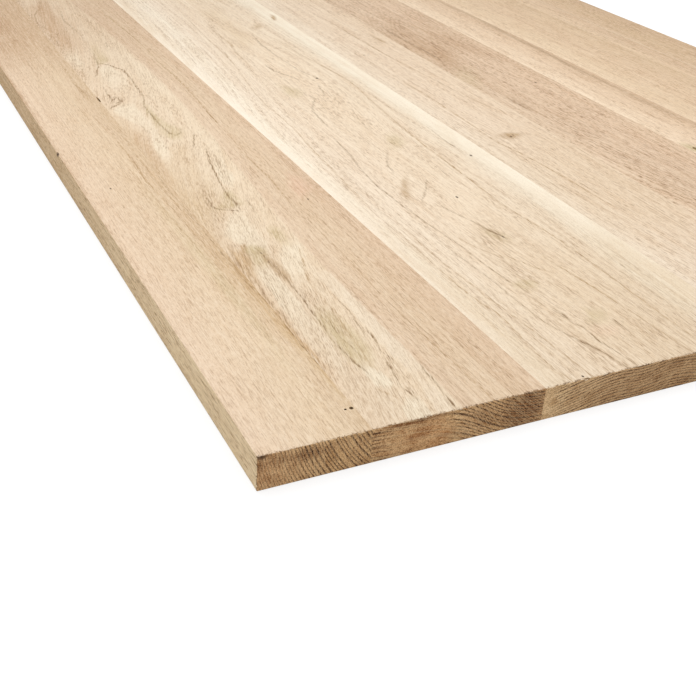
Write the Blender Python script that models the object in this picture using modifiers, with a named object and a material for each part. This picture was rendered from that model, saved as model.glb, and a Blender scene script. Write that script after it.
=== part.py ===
"""Oak tabletop: full-length staves edge-glued into one flat panel. Units are metres, +Z is up.

The panel lies flat with its show face up. Its length runs along Y and its width along X, and the origin
is under the middle of the underside. The near end is at -Y and the left long edge is at -X. Places on
the show face are given from the near end, and across the panel from the nearest glue line.
"""

import bmesh
import bpy
from mathutils import Vector

# Panel
TOP_LENGTH = 2.0
TOP_THICKNESS = 0.026
EASED_ARRIS = 0.0006
GLUE_LINE = 0.0003

# Stave widths between the middles of their glue lines, from the left long edge to the right one
STAVE_1_WIDTH = 0.077
STAVE_2_WIDTH = 0.1295
STAVE_3_WIDTH = 0.1975
STAVE_4_WIDTH = 0.099
STAVE_5_WIDTH = 0.111
STAVE_6_WIDTH = 0.067
STAVE_7_WIDTH = 0.116
STAVE_8_WIDTH = 0.103

# Open slit where a torn knot meets the glue line between staves 1 and 2
SLIT_FROM_END = 0.664
SLIT_WIDTH = 0.0022
SLIT_LENGTH = 0.019
SLIT_DEPTH = 0.004

# Pair of pin knots that have lost their cores, in stave 1 beside its glue line
PIN_KNOT_FROM_END = 0.0264
PIN_KNOT_FROM_JOINT = 0.0023
PIN_KNOT_SIZE = 0.003
PIN_KNOT_DEPTH = 0.002
PIN_KNOT_SPACING = 0.0042
SMALL_PIN_KNOT_SIZE = 0.0017
SMALL_PIN_KNOT_DEPTH = 0.0012

# Hole left by a dead knot in stave 6
KNOT_HOLE_FROM_END = 0.332
KNOT_HOLE_FROM_JOINT = 0.0095
KNOT_HOLE_WIDTH = 0.005
KNOT_HOLE_LENGTH = 0.009
KNOT_HOLE_DEPTH = 0.005

# Chip in the upper arris of the near end, in stave 3
END_CHIP_FROM_JOINT = 0.0335
END_CHIP_WIDTH = 0.0044
END_CHIP_LENGTH = 0.0024
END_CHIP_DEPTH = 0.0014

# Chip in the upper arris of the left long edge
EDGE_CHIP_FROM_END = 0.52
EDGE_CHIP_WIDTH = 0.0022
EDGE_CHIP_LENGTH = 0.011
EDGE_CHIP_DEPTH = 0.0014

# Planed oak: each stave's own tone, as it shows on the upper face
STAVES = (
    ("stave_1", STAVE_1_WIDTH, "#e4cbab"),
    ("stave_2", STAVE_2_WIDTH, "#e6cfb2"),
    ("stave_3", STAVE_3_WIDTH, "#efddc3"),
    ("stave_4", STAVE_4_WIDTH, "#ebd6ba"),
    ("stave_5", STAVE_5_WIDTH, "#ddc3a4"),
    ("stave_6", STAVE_6_WIDTH, "#e3c9a9"),
    ("stave_7", STAVE_7_WIDTH, "#e2c8a8"),
    ("stave_8", STAVE_8_WIDTH, "#dabe9f"),
)
OAK_ROUGHNESS = 0.6

TOP_WIDTH = sum(width for name, width, tone in STAVES)

# Facets: the eased arrises and the rounded flaws
ARRIS_SEGMENTS = 2
FLAW_SEGMENTS = 14
FLAW_RINGS = 7


def linear_colour(tone):
    """Turn an sRGB hex colour into the linear values that a shader takes."""
    channels = [int(tone[start:start + 2], 16) / 255 for start in (1, 3, 5)]
    linear = [c / 12.92 if c <= 0.04045 else ((c + 0.055) / 1.055) ** 2.4 for c in channels]
    return (*linear, 1.0)


def oak_material(name, tone):
    material = bpy.data.materials.new(name)
    material.use_nodes = True
    shader = material.node_tree.nodes["Principled BSDF"]
    shader.inputs["Base Color"].default_value = linear_colour(tone)
    shader.inputs["Roughness"].default_value = OAK_ROUGHNESS
    shader.inputs["Metallic"].default_value = 0.0
    return material


def new_collection(name):
    collection = bpy.data.collections.new(name)
    bpy.context.scene.collection.children.link(collection)
    return collection


def add_object(name, bm, collection, location):
    mesh = bpy.data.meshes.new(name)
    bm.to_mesh(mesh)
    bm.free()
    obj = bpy.data.objects.new(name, mesh)
    obj.location = location
    collection.objects.link(obj)
    return obj


def glue_line_x(index):
    """X of the glue line on the left of a stave, counted from 0; 0 itself is the panel's left edge."""
    return sum(width for name, width, tone in STAVES[:index]) - TOP_WIDTH / 2


def make_stave(index, collection):
    """A full-length board: sawn square where it is glued, eased on the arrises that stay outside."""
    name, width, tone = STAVES[index]
    left = glue_line_x(index)
    right = left + width
    glued_left = index > 0
    glued_right = index < len(STAVES) - 1
    if glued_left:
        left += GLUE_LINE / 2
    if glued_right:
        right -= GLUE_LINE / 2

    bm = bmesh.new()
    bmesh.ops.create_cube(bm, size=1.0)
    bmesh.ops.scale(bm, vec=(right - left, TOP_LENGTH, TOP_THICKNESS), verts=bm.verts)
    weights = bm.edges.layers.float.new("bevel_weight_edge")
    for edge in bm.edges:
        sides = [face.normal.x for face in edge.link_faces]
        glued = (glued_left and min(sides) < -0.5) or (glued_right and max(sides) > 0.5)
        edge[weights] = 0.0 if glued else 1.0

    stave = add_object(name, bm, collection, ((left + right) / 2, 0.0, TOP_THICKNESS / 2))
    easing = stave.modifiers.new("eased arrises", "BEVEL")
    easing.limit_method = "WEIGHT"
    easing.width = EASED_ARRIS
    easing.segments = ARRIS_SEGMENTS
    stave.data.materials.append(oak_material("oak_" + name, tone))
    return stave


def make_flaw(name, place, width, length, depth, collection):
    """A rounded hollow, sunk into the wood from a place on the upper face."""
    bm = bmesh.new()
    bmesh.ops.create_uvsphere(bm, u_segments=FLAW_SEGMENTS, v_segments=FLAW_RINGS, radius=1.0)
    bmesh.ops.scale(bm, vec=(width / 2, length / 2, depth), verts=bm.verts)
    flaw = add_object(name, bm, collection, place)
    flaw.hide_render = True
    flaw.display_type = "WIRE"
    return flaw


def upper_face(x, from_end):
    return Vector((x, from_end - TOP_LENGTH / 2, TOP_THICKNESS))


def cut(stave, flaw):
    boolean = stave.modifiers.new(flaw.name, "BOOLEAN")
    boolean.operation = "DIFFERENCE"
    boolean.solver = "EXACT"
    boolean.object = flaw


def main():
    for obj in list(bpy.data.objects):
        bpy.data.objects.remove(obj, do_unlink=True)

    tabletop = new_collection("oak_tabletop")
    flaws = new_collection("flaw_cutters")
    staves = [make_stave(index, tabletop) for index in range(len(STAVES))]

    slit_place = upper_face(glue_line_x(1), SLIT_FROM_END)
    slit = make_flaw("torn_slit", slit_place, SLIT_WIDTH, SLIT_LENGTH, SLIT_DEPTH, flaws)
    cut(staves[0], slit)
    cut(staves[1], slit)

    pin_place = upper_face(glue_line_x(1) - PIN_KNOT_FROM_JOINT, PIN_KNOT_FROM_END)
    pin_knot = make_flaw("pin_knot", pin_place, PIN_KNOT_SIZE, PIN_KNOT_SIZE, PIN_KNOT_DEPTH, flaws)
    cut(staves[0], pin_knot)

    small_place = pin_place - Vector((PIN_KNOT_SPACING, 0.0, 0.0))
    small_pin_knot = make_flaw(
        "small_pin_knot", small_place, SMALL_PIN_KNOT_SIZE, SMALL_PIN_KNOT_SIZE, SMALL_PIN_KNOT_DEPTH, flaws
    )
    cut(staves[0], small_pin_knot)

    hole_place = upper_face(glue_line_x(5) + KNOT_HOLE_FROM_JOINT, KNOT_HOLE_FROM_END)
    knot_hole = make_flaw(
        "knot_hole", hole_place, KNOT_HOLE_WIDTH, KNOT_HOLE_LENGTH, KNOT_HOLE_DEPTH, flaws
    )
    cut(staves[5], knot_hole)

    end_chip_place = upper_face(glue_line_x(2) + END_CHIP_FROM_JOINT, 0.0)
    end_chip = make_flaw(
        "end_chip", end_chip_place, END_CHIP_WIDTH, END_CHIP_LENGTH, END_CHIP_DEPTH, flaws
    )
    cut(staves[2], end_chip)

    edge_chip_place = upper_face(glue_line_x(0), EDGE_CHIP_FROM_END)
    edge_chip = make_flaw(
        "edge_chip", edge_chip_place, EDGE_CHIP_WIDTH, EDGE_CHIP_LENGTH, EDGE_CHIP_DEPTH, flaws
    )
    cut(staves[0], edge_chip)


main()
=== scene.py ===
"""Looks of an oak tabletop: sawn, planed and sanded oak staves, glued edge to edge, on a white studio floor.

Places on the tabletop are in millimetres, as someone standing at its near left corner would measure them:
X across from the left long edge, Y along the grain from the near end, and Z up from the show face, so that
places in the wood have a negative Z.
"""

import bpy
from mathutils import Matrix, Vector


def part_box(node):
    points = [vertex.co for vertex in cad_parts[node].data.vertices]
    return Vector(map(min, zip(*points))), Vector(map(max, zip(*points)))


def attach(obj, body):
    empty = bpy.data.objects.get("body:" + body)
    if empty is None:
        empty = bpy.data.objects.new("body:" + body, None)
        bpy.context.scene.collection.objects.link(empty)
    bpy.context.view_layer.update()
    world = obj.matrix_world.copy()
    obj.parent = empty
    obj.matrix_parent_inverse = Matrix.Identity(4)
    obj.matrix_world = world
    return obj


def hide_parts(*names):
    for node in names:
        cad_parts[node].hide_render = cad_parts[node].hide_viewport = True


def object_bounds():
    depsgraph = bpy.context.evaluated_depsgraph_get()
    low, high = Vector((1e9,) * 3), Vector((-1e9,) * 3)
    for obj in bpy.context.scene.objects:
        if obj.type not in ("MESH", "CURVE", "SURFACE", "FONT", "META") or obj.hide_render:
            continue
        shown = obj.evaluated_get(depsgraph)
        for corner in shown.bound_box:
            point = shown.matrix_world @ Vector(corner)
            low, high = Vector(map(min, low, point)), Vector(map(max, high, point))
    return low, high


bl_info = {
    "name": "Oak Tabletop Looks",
    "version": (1, 0, 0),
    "blender": (4, 5, 0),
    "location": "3D View > Sidebar > Tabletop",
    "description": "Dresses a glued-up oak tabletop and lights it in a plain studio",
    "category": "Object",
}

import math
import random
from dataclasses import dataclass
from types import SimpleNamespace

import bmesh
import bpy
from mathutils import Matrix, Vector

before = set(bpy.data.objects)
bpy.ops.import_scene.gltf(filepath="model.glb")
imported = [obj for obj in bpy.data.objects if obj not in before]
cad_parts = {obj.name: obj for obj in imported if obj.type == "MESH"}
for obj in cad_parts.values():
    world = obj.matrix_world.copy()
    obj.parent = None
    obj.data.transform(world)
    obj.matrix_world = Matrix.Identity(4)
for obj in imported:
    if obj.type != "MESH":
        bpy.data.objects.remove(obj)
CAD_LOW, CAD_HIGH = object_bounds()

MM = 0.001
NEAR_LEFT_TOP = Vector((CAD_LOW.x, CAD_LOW.y, CAD_HIGH.z))
LENGTH = (CAD_HIGH.y - CAD_LOW.y) / MM

# Meshes: what counts as the same vertex, as on a cut and as at a joint or an arris, and up to what bend the
# loose triangles of a solid are one flat face
WELD = 0.001 * MM
ON_CUT = 0.005 * MM
CLOSE = 0.01 * MM
FLAT = math.radians(0.5)

# Torn nicks in the end arrises: how far apart, how far into that spacing, how big, and how far from the end
# the mesh is split for them. ARRIS is how far the arrises are eased
NICK_SPACING = 1.4 * MM
NICK_SHIFT = (0.2, 0.8)
NICK_SIZE = 0.35 * MM
NICK_ZONE = 4.0 * MM
ARRIS = 0.6 * MM

# Marks: how many millimetres of half width one ramp can hold, and where a thin line starts to fade and ends,
# in half widths
MARK_REACH = 100.0
LINE_EDGE = (0.0, 1.3)

# Millimetres: how far torn fibres shift ring lines, thin marks and the edges of patches
RING_TEAR = 0.2
LINE_TEAR = 0.5
PATCH_TEAR = 2.2

# Millimetres: how deep knots reach, over what width calm grain sets in, how far from the sawn ends the faces
# are torn, and over how much radius the rings stay alike
KNOT_DEPTH = 5.5
CALM_BLEND = 22.0
TORN_ZONE = 2.4
UNEVEN_RINGS = 7.0

# Shares: by how many rings uneven growth shifts them, how much a ring's own weight adds to it on the ends,
# how much more hairs and pores show on the long edges, and how crowded pores are between the ring lines
# and, added to that, in them
RING_SHIFT = 1.2
RING_WEIGHT = 0.6
EDGE_BOOST = 1.4
PORES_BETWEEN = 0.7
PORES_IN_LINES = 0.7

# Growth ring: (place in the ring, darkness) of the line of open earlywood pores that it starts with
RING_PROFILE = ((0.0, 0.8), (0.06, 1.0), (0.24, 0.6), (0.42, 0.0), (0.9, 0.0), (1.0, 0.8))

# How far a surface has turned to the side where its look as an edge or an end sets in and is complete
TURN_START = 0.5
TURN_END = 0.85

# Relief: how far ring lines, pores and single fibres lie below the wood, in pore depths
RING_DROP = 0.3
PORE_DROP = 1.0
FIBRE_DROP = 0.2
RELIEF_STRENGTH = 0.8

# Dry, open wood: a usual IOR for it, and how little of its gloss is left
OAK_IOR = 1.5
OAK_GLOSS = 0.15

# Studio: gap under the tabletop, greys of the paper as it lights the object and as it is seen, the glow that
# makes it white to the camera, the place of the soft box, and the camera's sensor and reach
FLOOR_GAP = 0.2 * MM
PAPER_GREY = 0.8
SEEN_GREY = 0.3
PAPER_GLOW = 0.77
SOFT_BOX_PLACE = (-0.25, -0.55)
SENSOR_WIDTH = 36.0
CLIP_START = 0.01
CLIP_END = 200.0

# Slow wander of the fibres and quick wobble of the marks: seed, length of a bend in X, Y and Z, and how far
# it swings, in millimetres
FIBRE_WANDER = (0, (70, 420, 70), (3.0, 0.0, 3.0))
MARK_WOBBLE = (41, (12, 14, 12), (0.8, 0.0, 0.0))

# Noises of the wood: seed, length of a feature in X, Y and Z in millimetres, detail and roughness. Real pores
# are about 0.25 mm wide and are drawn three times as wide. Hairs, grit, tears and speckle are finer still in
# real oak, and are drawn as coarse as they need to show
NOISES = {
    "fibres": (0, (2.4, 60, 2.4), 4.0, 0.7),
    "hairs": (91, (2.6, 200, 2.6), 2.0, 0.6),
    "streaks": (9, (6, 300, 6), 3.0, 0.55),
    "clouds": (61, (14, 60, 14), 3.0, 0.6),
    "pores": (17, (0.75, 8, 0.75), 1.0, 0.55),
    "grit": (71, (0.7, 1.8, 0.7), 1.0, 0.55),
    "tears": (37, (0.6, 6, 0.6), 1.0, 0.55),
    "torn arrises": (97, (1.7, 1.7, 1.7), 1.0, 0.55),
    "rays": (29, (1.2, 9, 9), 1.0, 0.55),
    "blotches": (53, (14, 16, 8), 2.0, 0.55),
    "weave": (83, (2.0, 8, 0.8), 1.0, 0.55),
    "speckle": (103, (0.7, 3, 0.7), 0.0, 0.55),
}

# Colours of the figure
UMBER = "#86673f"
FAWN = "#b8986f"
CREAM = "#f2e4cb"
OLIVE = "#ccb88f"
TAN = "#d9bf9b"
RUST = "#cfaf82"
BROWN = "#c5a380"
SALMON = "#e3c0a4"
PEARL = "#ecdbc3"
AMBER = "#c09862"


def line(colour, *points):
    """A thin line of the figure, torn and broken into dashes. Each point is (Y, X, half width, strength)."""
    return (colour, None, points)


def patch(colour, softness, *points):
    """A broad patch of the figure with ragged edges, which are soft over this share of its half width."""
    return (colour, softness, points)


# Marks of the figure that run along the grain, and a few broad patches of painted shade, which are marked as
# such. A later one lies over the ones before it
STAVE_1_MARKS = (
    # Rust, a dark line and amber along the joint to stave 2
    patch(RUST, 0.9, (20, 76, 2, 0), (60, 76, 3, 0.4), (110, 75, 4, 0.5), (160, 73, 6, 0.35),
          (205, 72, 8, 0.45), (245, 72, 9, 0.4), (285, 71, 8, 0.25), (330, 70, 7, 0.15), (450, 67, 7, 0.15),
          (560, 64, 6, 0)),
    line(UMBER, (60, 77.4, 0.5, 0), (85, 76.8, 0.8, 0.7), (110, 76.4, 0.7, 0.8), (140, 76.6, 0.9, 1),
         (165, 77, 0.7, 0.8), (200, 75, 1.0, 0.7), (240, 74.5, 1.2, 0.5), (290, 75, 0.8, 0)),
    patch(AMBER, 0.8, (100, 76.5, 1.2, 0), (140, 76, 2.0, 0.4), (190, 75.5, 3.0, 0.35), (235, 75, 3.2, 0.35),
          (270, 75.5, 2, 0)),
    # Fine lines left of the joint
    line(FAWN, (250, 66, 0.8, 0), (300, 65, 1.1, 0.7), (380, 62.5, 1.1, 0.7), (450, 60, 1.1, 0.6),
         (530, 60, 0.8, 0)),
    line(FAWN, (290, 71, 0.8, 0), (340, 70.5, 1.3, 0.5), (420, 69, 1.3, 0.5), (500, 70, 1.2, 0.5),
         (590, 72, 0.8, 0)),
    line(FAWN, (180, 62, 0.8, 0), (240, 60, 1.0, 0.5), (330, 57, 1.0, 0.6), (420, 55, 1.0, 0.5),
         (500, 54, 0.8, 0)),
    line(UMBER, (230, 73, 0.8, 0), (270, 73.5, 1.1, 0.5), (320, 74, 1.1, 0.35), (390, 73, 1.1, 0.35),
         (470, 74, 0.8, 0)),
    patch(OLIVE, 0.8, (60, 57, 3, 0), (120, 58, 4, 0.2), (220, 57, 5, 0.4), (330, 55, 5, 0.3),
          (450, 53, 5, 0)),
    line(FAWN, (380, 61, 0.8, 0), (420, 60, 1.2, 0.6), (480, 62, 1.5, 0.8), (540, 62, 1, 0.5),
         (580, 63, 1, 0)),
    line(FAWN, (640, 66, 1, 0), (680, 68, 2, 0.8), (730, 66, 2, 0.7), (790, 68, 2, 0.6), (850, 67, 1, 0)),
    # Broad darker areas, painted shade where the light falls off towards the far left
    patch(BROWN, 1.0, (120, 40, 60, 0), (300, 40, 80, 0.13), (650, 40, 80, 0.13), (780, 35, 80, 0.22),
          (880, 18, 75, 0.7), (1000, 10, 75, 0.95), (1300, 20, 80, 0.6), (1600, 40, 80, 0)),
    # The upper part of the left long edge: darker wood, with painted shade that deepens towards the far end
    patch(BROWN, 0.5, (150, -1.5, 2.6, 0), (350, -1.5, 2.7, 0.3), (600, -1.5, 2.7, 0.7),
          (900, -1.5, 2.7, 0.7), (1400, -1.5, 2.7, 0.5), (1900, -1.5, 2.6, 0)),
)

STAVE_2_MARKS = (
    # Pale patches of the swirl, one after another from the near end, and an olive one between them
    patch(CREAM, 0.2, (50, 88, 3, 0), (80, 89, 6, 0.2), (130, 91, 7, 0.35), (165, 92, 7, 0.55),
          (200, 93, 7, 0.65), (225, 93, 6, 0.45), (240, 88, 3, 0)),
    patch(OLIVE, 0.5, (55, 106, 4, 0), (80, 108, 9, 0.6), (110, 110, 10, 0.65), (140, 109, 8, 0.55),
          (165, 112, 5, 0)),
    patch(CREAM, 0.2, (-10, 112, 8, 0.8), (8, 113, 8, 0.8), (20, 115, 6, 0.7), (27, 117, 3, 0)),
    patch(CREAM, 0.2, (35, 106, 2, 0), (43, 108, 5, 0.9), (57, 107, 5, 0.9), (66, 106, 4, 0.5),
          (76, 104, 2, 0)),
    patch(PEARL, 0.2, (-10, 130, 4, 0.5), (15, 131, 5, 0.6), (35, 133, 3, 0.4), (46, 133, 2, 0)),
    patch(PEARL, 0.2, (36, 135, 4, 0), (60, 136, 6, 0.6), (100, 136, 6, 0.7), (150, 136, 6, 0.6),
          (200, 135, 6, 0.4), (230, 133, 5, 0)),
    patch(CREAM, 0.3, (190, 113, 3, 0), (215, 117, 8, 0.6), (235, 122, 10, 0.7), (255, 130, 9, 0.6),
          (275, 134, 6, 0)),
    patch(CREAM, 0.3, (250, 107, 3, 0), (265, 106, 8, 0.55), (290, 102, 13, 0.7), (310, 105, 11, 0.6),
          (335, 113, 5, 0.4), (350, 115, 3, 0)),
    patch(CREAM, 0.3, (380, 127, 2, 0), (405, 131, 6, 0.7), (440, 136, 6, 0.5), (475, 143, 7, 0.25),
          (520, 150, 7, 0.15), (560, 151, 7, 0)),
    patch(CREAM, 0.3, (455, 92, 4, 0), (480, 95, 6, 0.4), (510, 98, 6, 0.6), (560, 103, 6, 0.4),
          (600, 97, 11, 0.6), (630, 97, 12, 0.6), (650, 108, 4, 0)),
    patch(CREAM, 0.3, (670, 107, 3, 0), (700, 110, 10, 0.3), (740, 113, 12, 0.5), (775, 114, 7, 0.6),
          (790, 115, 2, 0)),
    patch(CREAM, 0.8, (580, 143, 6, 0), (640, 146, 9, 0.1), (720, 147, 10, 0.25), (820, 143, 12, 0.3),
          (900, 140, 12, 0.2), (990, 138, 8, 0)),
    patch(CREAM, 0.8, (755, 84, 3, 0), (790, 88, 6, 0.5), (830, 90, 8, 0.5), (880, 96, 8, 0)),
    # Hook that turns away from the joint to stave 1
    patch(OLIVE, 0.5, (222, 95, 4, 0), (238, 97, 7, 0.5), (254, 100, 8, 0.7), (265, 100, 7, 0.8),
          (275, 99, 3, 0)),
    patch(RUST, 0.5, (200, 80, 3, 0), (225, 83, 5, 0.4), (245, 86, 5, 0.5), (262, 86, 4, 0.4),
          (275, 84, 2, 0)),
    patch(AMBER, 0.7, (60, 79.5, 1.2, 0), (90, 79, 1.4, 0.5), (130, 78, 2.2, 0.5), (160, 78, 3.0, 0.4),
          (200, 79, 3.6, 0.25), (230, 80.5, 3.6, 0.25), (250, 82, 3.0, 0.25), (272, 85, 1.6, 0)),
    line(UMBER, (120, 79, 0.8, 0), (150, 79.5, 1.1, 0.5), (180, 79, 1.1, 0.5), (205, 81, 1.2, 0.3),
         (228, 82.5, 1.2, 0.3), (250, 85, 0.9, 0)),
    line(UMBER, (200, 78.5, 0.8, 0), (222, 79, 1.2, 0.35), (240, 80, 1.2, 0.4), (258, 81, 1.1, 0.3),
         (280, 82, 0.8, 0)),
    line(UMBER, (226, 84, 0.8, 0), (240, 86.5, 1.1, 0.3), (252, 89, 1.1, 0.4), (262, 91.5, 1.1, 0.4),
         (272, 96, 1.1, 0.5), (278, 101, 0.8, 0)),
    patch(AMBER, 0.6, (224, 84, 1, 0), (238, 86, 2.2, 0.35), (250, 88.5, 3.0, 0.35), (262, 91, 3.0, 0.35),
          (272, 95, 2.2, 0.4), (279, 99, 1, 0)),
    # Short lines in the first bulge and at the near end
    patch(FAWN, 0.5, (192, 105, 2, 0), (206, 105.5, 3.5, 0.5), (222, 105.5, 4.5, 0.6), (238, 105, 3.5, 0.6),
          (252, 104, 3, 0.3), (262, 103, 2, 0)),
    line(FAWN, (186, 118, 1, 0), (200, 121, 1.8, 0.7), (214, 125, 1.5, 0.8), (230, 129.5, 1.4, 0.8),
         (246, 134, 1.4, 0.7), (262, 138, 1, 0)),
    line(FAWN, (22, 109, 0.8, 0), (29, 106, 1.8, 0.7), (35, 103, 1.6, 0.6), (44, 99, 0.9, 0)),
    line(UMBER, (14, 120, 0.7, 0), (25, 118.8, 1.1, 0.7), (34, 117.6, 1.1, 0.7), (43, 116.6, 0.8, 0)),
    line(UMBER, (20, 122, 0.7, 0), (30, 120.8, 0.9, 0.6), (39, 119.8, 0.7, 0)),
    # Olive, tan and brown areas round the narrow places of the swirl
    patch(OLIVE, 0.6, (255, 130, 3, 0), (272, 129, 4, 0.5), (290, 130, 5, 0.6), (305, 131, 3, 0)),
    patch(OLIVE, 0.6, (340, 104, 6, 0), (350, 110, 13, 0.6), (360, 117, 8, 0.5), (375, 119, 5, 0.7),
          (390, 121, 3, 0)),
    patch(OLIVE, 0.7, (515, 121, 4, 0), (532, 120, 9, 0.6), (550, 121, 10, 0.6), (572, 118, 6, 0.6),
          (600, 117, 4, 0.7), (625, 119, 2, 0.4), (650, 122, 2, 0)),
    patch(TAN, 0.8, (310, 92, 6, 0), (350, 92, 12, 0.6), (400, 98, 16, 0.5), (450, 104, 12, 0.4),
          (500, 112, 8, 0.4), (520, 116, 4, 0)),
    patch(TAN, 0.9, (230, 78, 4, 0), (320, 78, 8, 0.55), (450, 79, 9, 0.65), (560, 79, 8, 0.6),
          (650, 79, 5, 0)),
    patch(BROWN, 0.8, (370, 80, 3, 0), (420, 81, 4, 0.3), (480, 82, 6, 0.4), (540, 84, 6, 0.4),
          (580, 84, 4, 0)),
    # Dark lines of the first bulge
    line(UMBER, (50, 104, 0.8, 0), (72, 101.5, 0.9, 0.5), (100, 99.5, 0.9, 0.5), (125, 101, 1, 0.6),
         (150, 102.3, 1.1, 0.8), (175, 104.3, 1.1, 0.8), (200, 105, 1.2, 0.5), (222, 104.5, 1.6, 0.5),
         (236, 104, 1.0, 0.5), (256, 103.5, 1.0, 0.6), (272, 101, 0.9, 0)),
    line(UMBER, (38, 116.5, 0.8, 0), (48, 118.5, 1.1, 0.8), (58, 120.5, 1.2, 1), (68, 122, 1.2, 1),
         (76, 123, 0.9, 0)),
    line(UMBER, (60, 126, 0.7, 0), (74, 126.5, 1, 0.7), (84, 124.5, 0.9, 0.4), (95, 127.5, 1.2, 0.8),
         (103, 128.3, 1.4, 1), (111, 128.8, 1, 0.5), (120, 130.5, 0.8, 0)),
    line(UMBER, (96, 121, 0.7, 0), (110, 125, 1, 0.6), (124, 126, 1, 0.7), (136, 128, 1, 0.7),
         (146, 129, 1, 0.6), (165, 127, 1.2, 0)),
    line(UMBER, (56, 104, 0.8, 0), (66, 103, 1.2, 0.6), (78, 101, 1.1, 0.5), (96, 100, 0.9, 0.6),
         (112, 102, 0.9, 0.3), (130, 100, 0.8, 0)),
    line(UMBER, (70, 107, 0.8, 0), (88, 108.5, 0.9, 0.6), (104, 107, 0.8, 0.4), (122, 107.5, 0.8, 0.5),
         (140, 109, 0.8, 0)),
    line(FAWN, (60, 105, 0.8, 0), (85, 112, 1, 0.4), (115, 114, 2, 0.5), (140, 118, 2.4, 0.5),
         (165, 119, 2.4, 0.4), (190, 118, 2, 0)),
    line(UMBER, (-10, 138.3, 1, 0.8), (8, 138.5, 1.1, 0.9), (17, 138.3, 1, 0.5), (30, 140.3, 0.9, 0.7),
         (48, 141, 0.9, 0.7), (62, 142, 0.8, 0)),
    line(UMBER, (-10, 134.5, 0.8, 0.6), (6, 135.5, 0.9, 0.5), (18, 136.5, 0.8, 0)),
    # Dark lines of the next bulges
    line(UMBER, (338, 117, 1.0, 0), (352, 119.5, 1.8, 0.8), (372, 118.5, 1.2, 0.7), (400, 121.5, 1.1, 0.9),
         (420, 124.5, 1.1, 1), (440, 128, 1.1, 1), (460, 131.5, 1, 0.7), (480, 136, 1, 0.8),
         (496, 140.5, 0.8, 0)),
    line(UMBER, (490, 125.5, 0.8, 0), (502, 130, 1.3, 0.8), (514, 134.5, 1.1, 0.8), (525, 138, 1, 0.8),
         (538, 141.5, 0.8, 0)),
    line(UMBER, (334, 119, 1, 0), (339, 114, 2.2, 0.7), (342, 108, 2.5, 0.6), (345, 103, 2.5, 0.6),
         (350, 98.5, 1.8, 0.7), (360, 96, 1.2, 0.5), (372, 95, 1, 0)),
    line(UMBER, (345, 97, 1, 0), (362, 98.5, 1.6, 0.5), (375, 99, 1, 0.3), (390, 101, 1, 0)),
    line(UMBER, (320, 128, 1, 0), (338, 129, 1.6, 0.5), (355, 131, 1, 0.4), (375, 135, 1, 0)),
    line(UMBER, (534, 121, 1.5, 0), (539, 118.5, 2, 0.7), (548, 117, 1.5, 0.7), (562, 116.5, 1.5, 0.7),
         (590, 116, 1.6, 0.8), (612, 116.8, 1.4, 0.6), (635, 119, 1.2, 0.7), (655, 125, 1.3, 0.4),
         (680, 127, 1.6, 0.7), (705, 129, 1.5, 0.7), (735, 130.3, 1.7, 0.7), (760, 130.5, 2, 0.9),
         (772, 125, 2, 0.9), (784, 120, 2, 1), (793, 113, 2, 0.8), (800, 108, 2, 0)),
    line(UMBER, (735, 93, 1, 0), (752, 97, 1.4, 0.7), (772, 104, 1.3, 0.8), (795, 109.5, 1.3, 0.6),
         (820, 113, 2, 0.4), (860, 117, 2, 0)),
    line(UMBER, (531, 120, 1.5, 0), (535, 125, 2.4, 0.6), (540, 129, 2.2, 0.5), (548, 132, 1.5, 0.3),
         (556, 133, 1, 0)),
    patch(OLIVE, 0.8, (786, 113, 4, 0), (800, 117, 7, 0.8), (820, 119, 7, 0.6), (860, 122, 5, 0.3),
          (900, 126, 4, 0)),
    # Arcs round the slit
    line(UMBER, (650, 89, 2, 0), (662, 91, 1.6, 0.8), (680, 91, 1.1, 0.7), (702, 93, 1, 0.3),
         (720, 90, 1, 0)),
    line(UMBER, (628, 80, 1.5, 0), (635, 84, 2.5, 0.7), (641, 91, 2.5, 0.7), (647, 97, 2.4, 0.7),
         (658, 101, 1.6, 0.5), (672, 102, 1, 0)),
    line(UMBER, (642, 88, 1.5, 0), (646, 92, 2.4, 0.5), (651, 97, 2.2, 0.6), (659, 98.5, 1.6, 0.6),
         (668, 96, 1.5, 0.4), (678, 91, 1, 0)),
    line(UMBER, (654, 88, 1.5, 0), (657, 91, 2.2, 0.5), (662, 94.5, 1.8, 0.6), (668, 94, 1.4, 0.4),
         (676, 90, 1, 0)),
    # Where the swirl fades out
    line(UMBER, (850, 137, 1, 0), (868, 140, 1.3, 0.8), (885, 142, 1, 0)),
    line(UMBER, (840, 82, 1, 0), (890, 84, 1.5, 0.5), (930, 92, 1.5, 0.6), (975, 81, 2, 0.5),
         (1010, 82, 1.2, 0.6), (1035, 87, 1.5, 0.7), (1070, 101, 2, 0.6), (1100, 108, 2, 0.3),
         (1150, 118, 2, 0)),
    # A broad darker area over the far part of the board: painted shade where the light falls off towards the
    # far left
    patch(BROWN, 1.0, (700, 140, 90, 0), (840, 140, 100, 0.2), (950, 140, 100, 0.35), (1200, 140, 100, 0.35),
          (1500, 140, 100, 0)),
    patch(BROWN, 0.9, (820, 92, 8, 0), (880, 92, 12, 0.6), (960, 95, 14, 0.75), (1020, 98, 14, 0.75),
          (1080, 106, 10, 0.6), (1150, 118, 6, 0)),
    line(UMBER, (880, 118, 1, 0), (940, 119, 1.5, 0.4), (990, 116, 2, 0.5), (1030, 121, 2, 0.3),
         (1080, 128, 2, 0)),
    # Straight grain right of the swirl
    patch(SALMON, 0.9, (335, 174, 4, 0), (358, 184, 8, 0.6), (378, 189, 8, 0.8), (395, 191, 5, 0.5),
          (415, 191, 3, 0)),
    line(FAWN, (545, 175, 0.8, 0), (562, 174.5, 1.2, 1), (600, 176.5, 1.2, 0.9), (660, 180, 1.4, 0.9),
         (720, 181, 1.4, 0.9), (780, 180, 1.4, 0.7), (860, 182, 1.5, 0.5), (990, 177, 1.6, 0.9),
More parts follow.
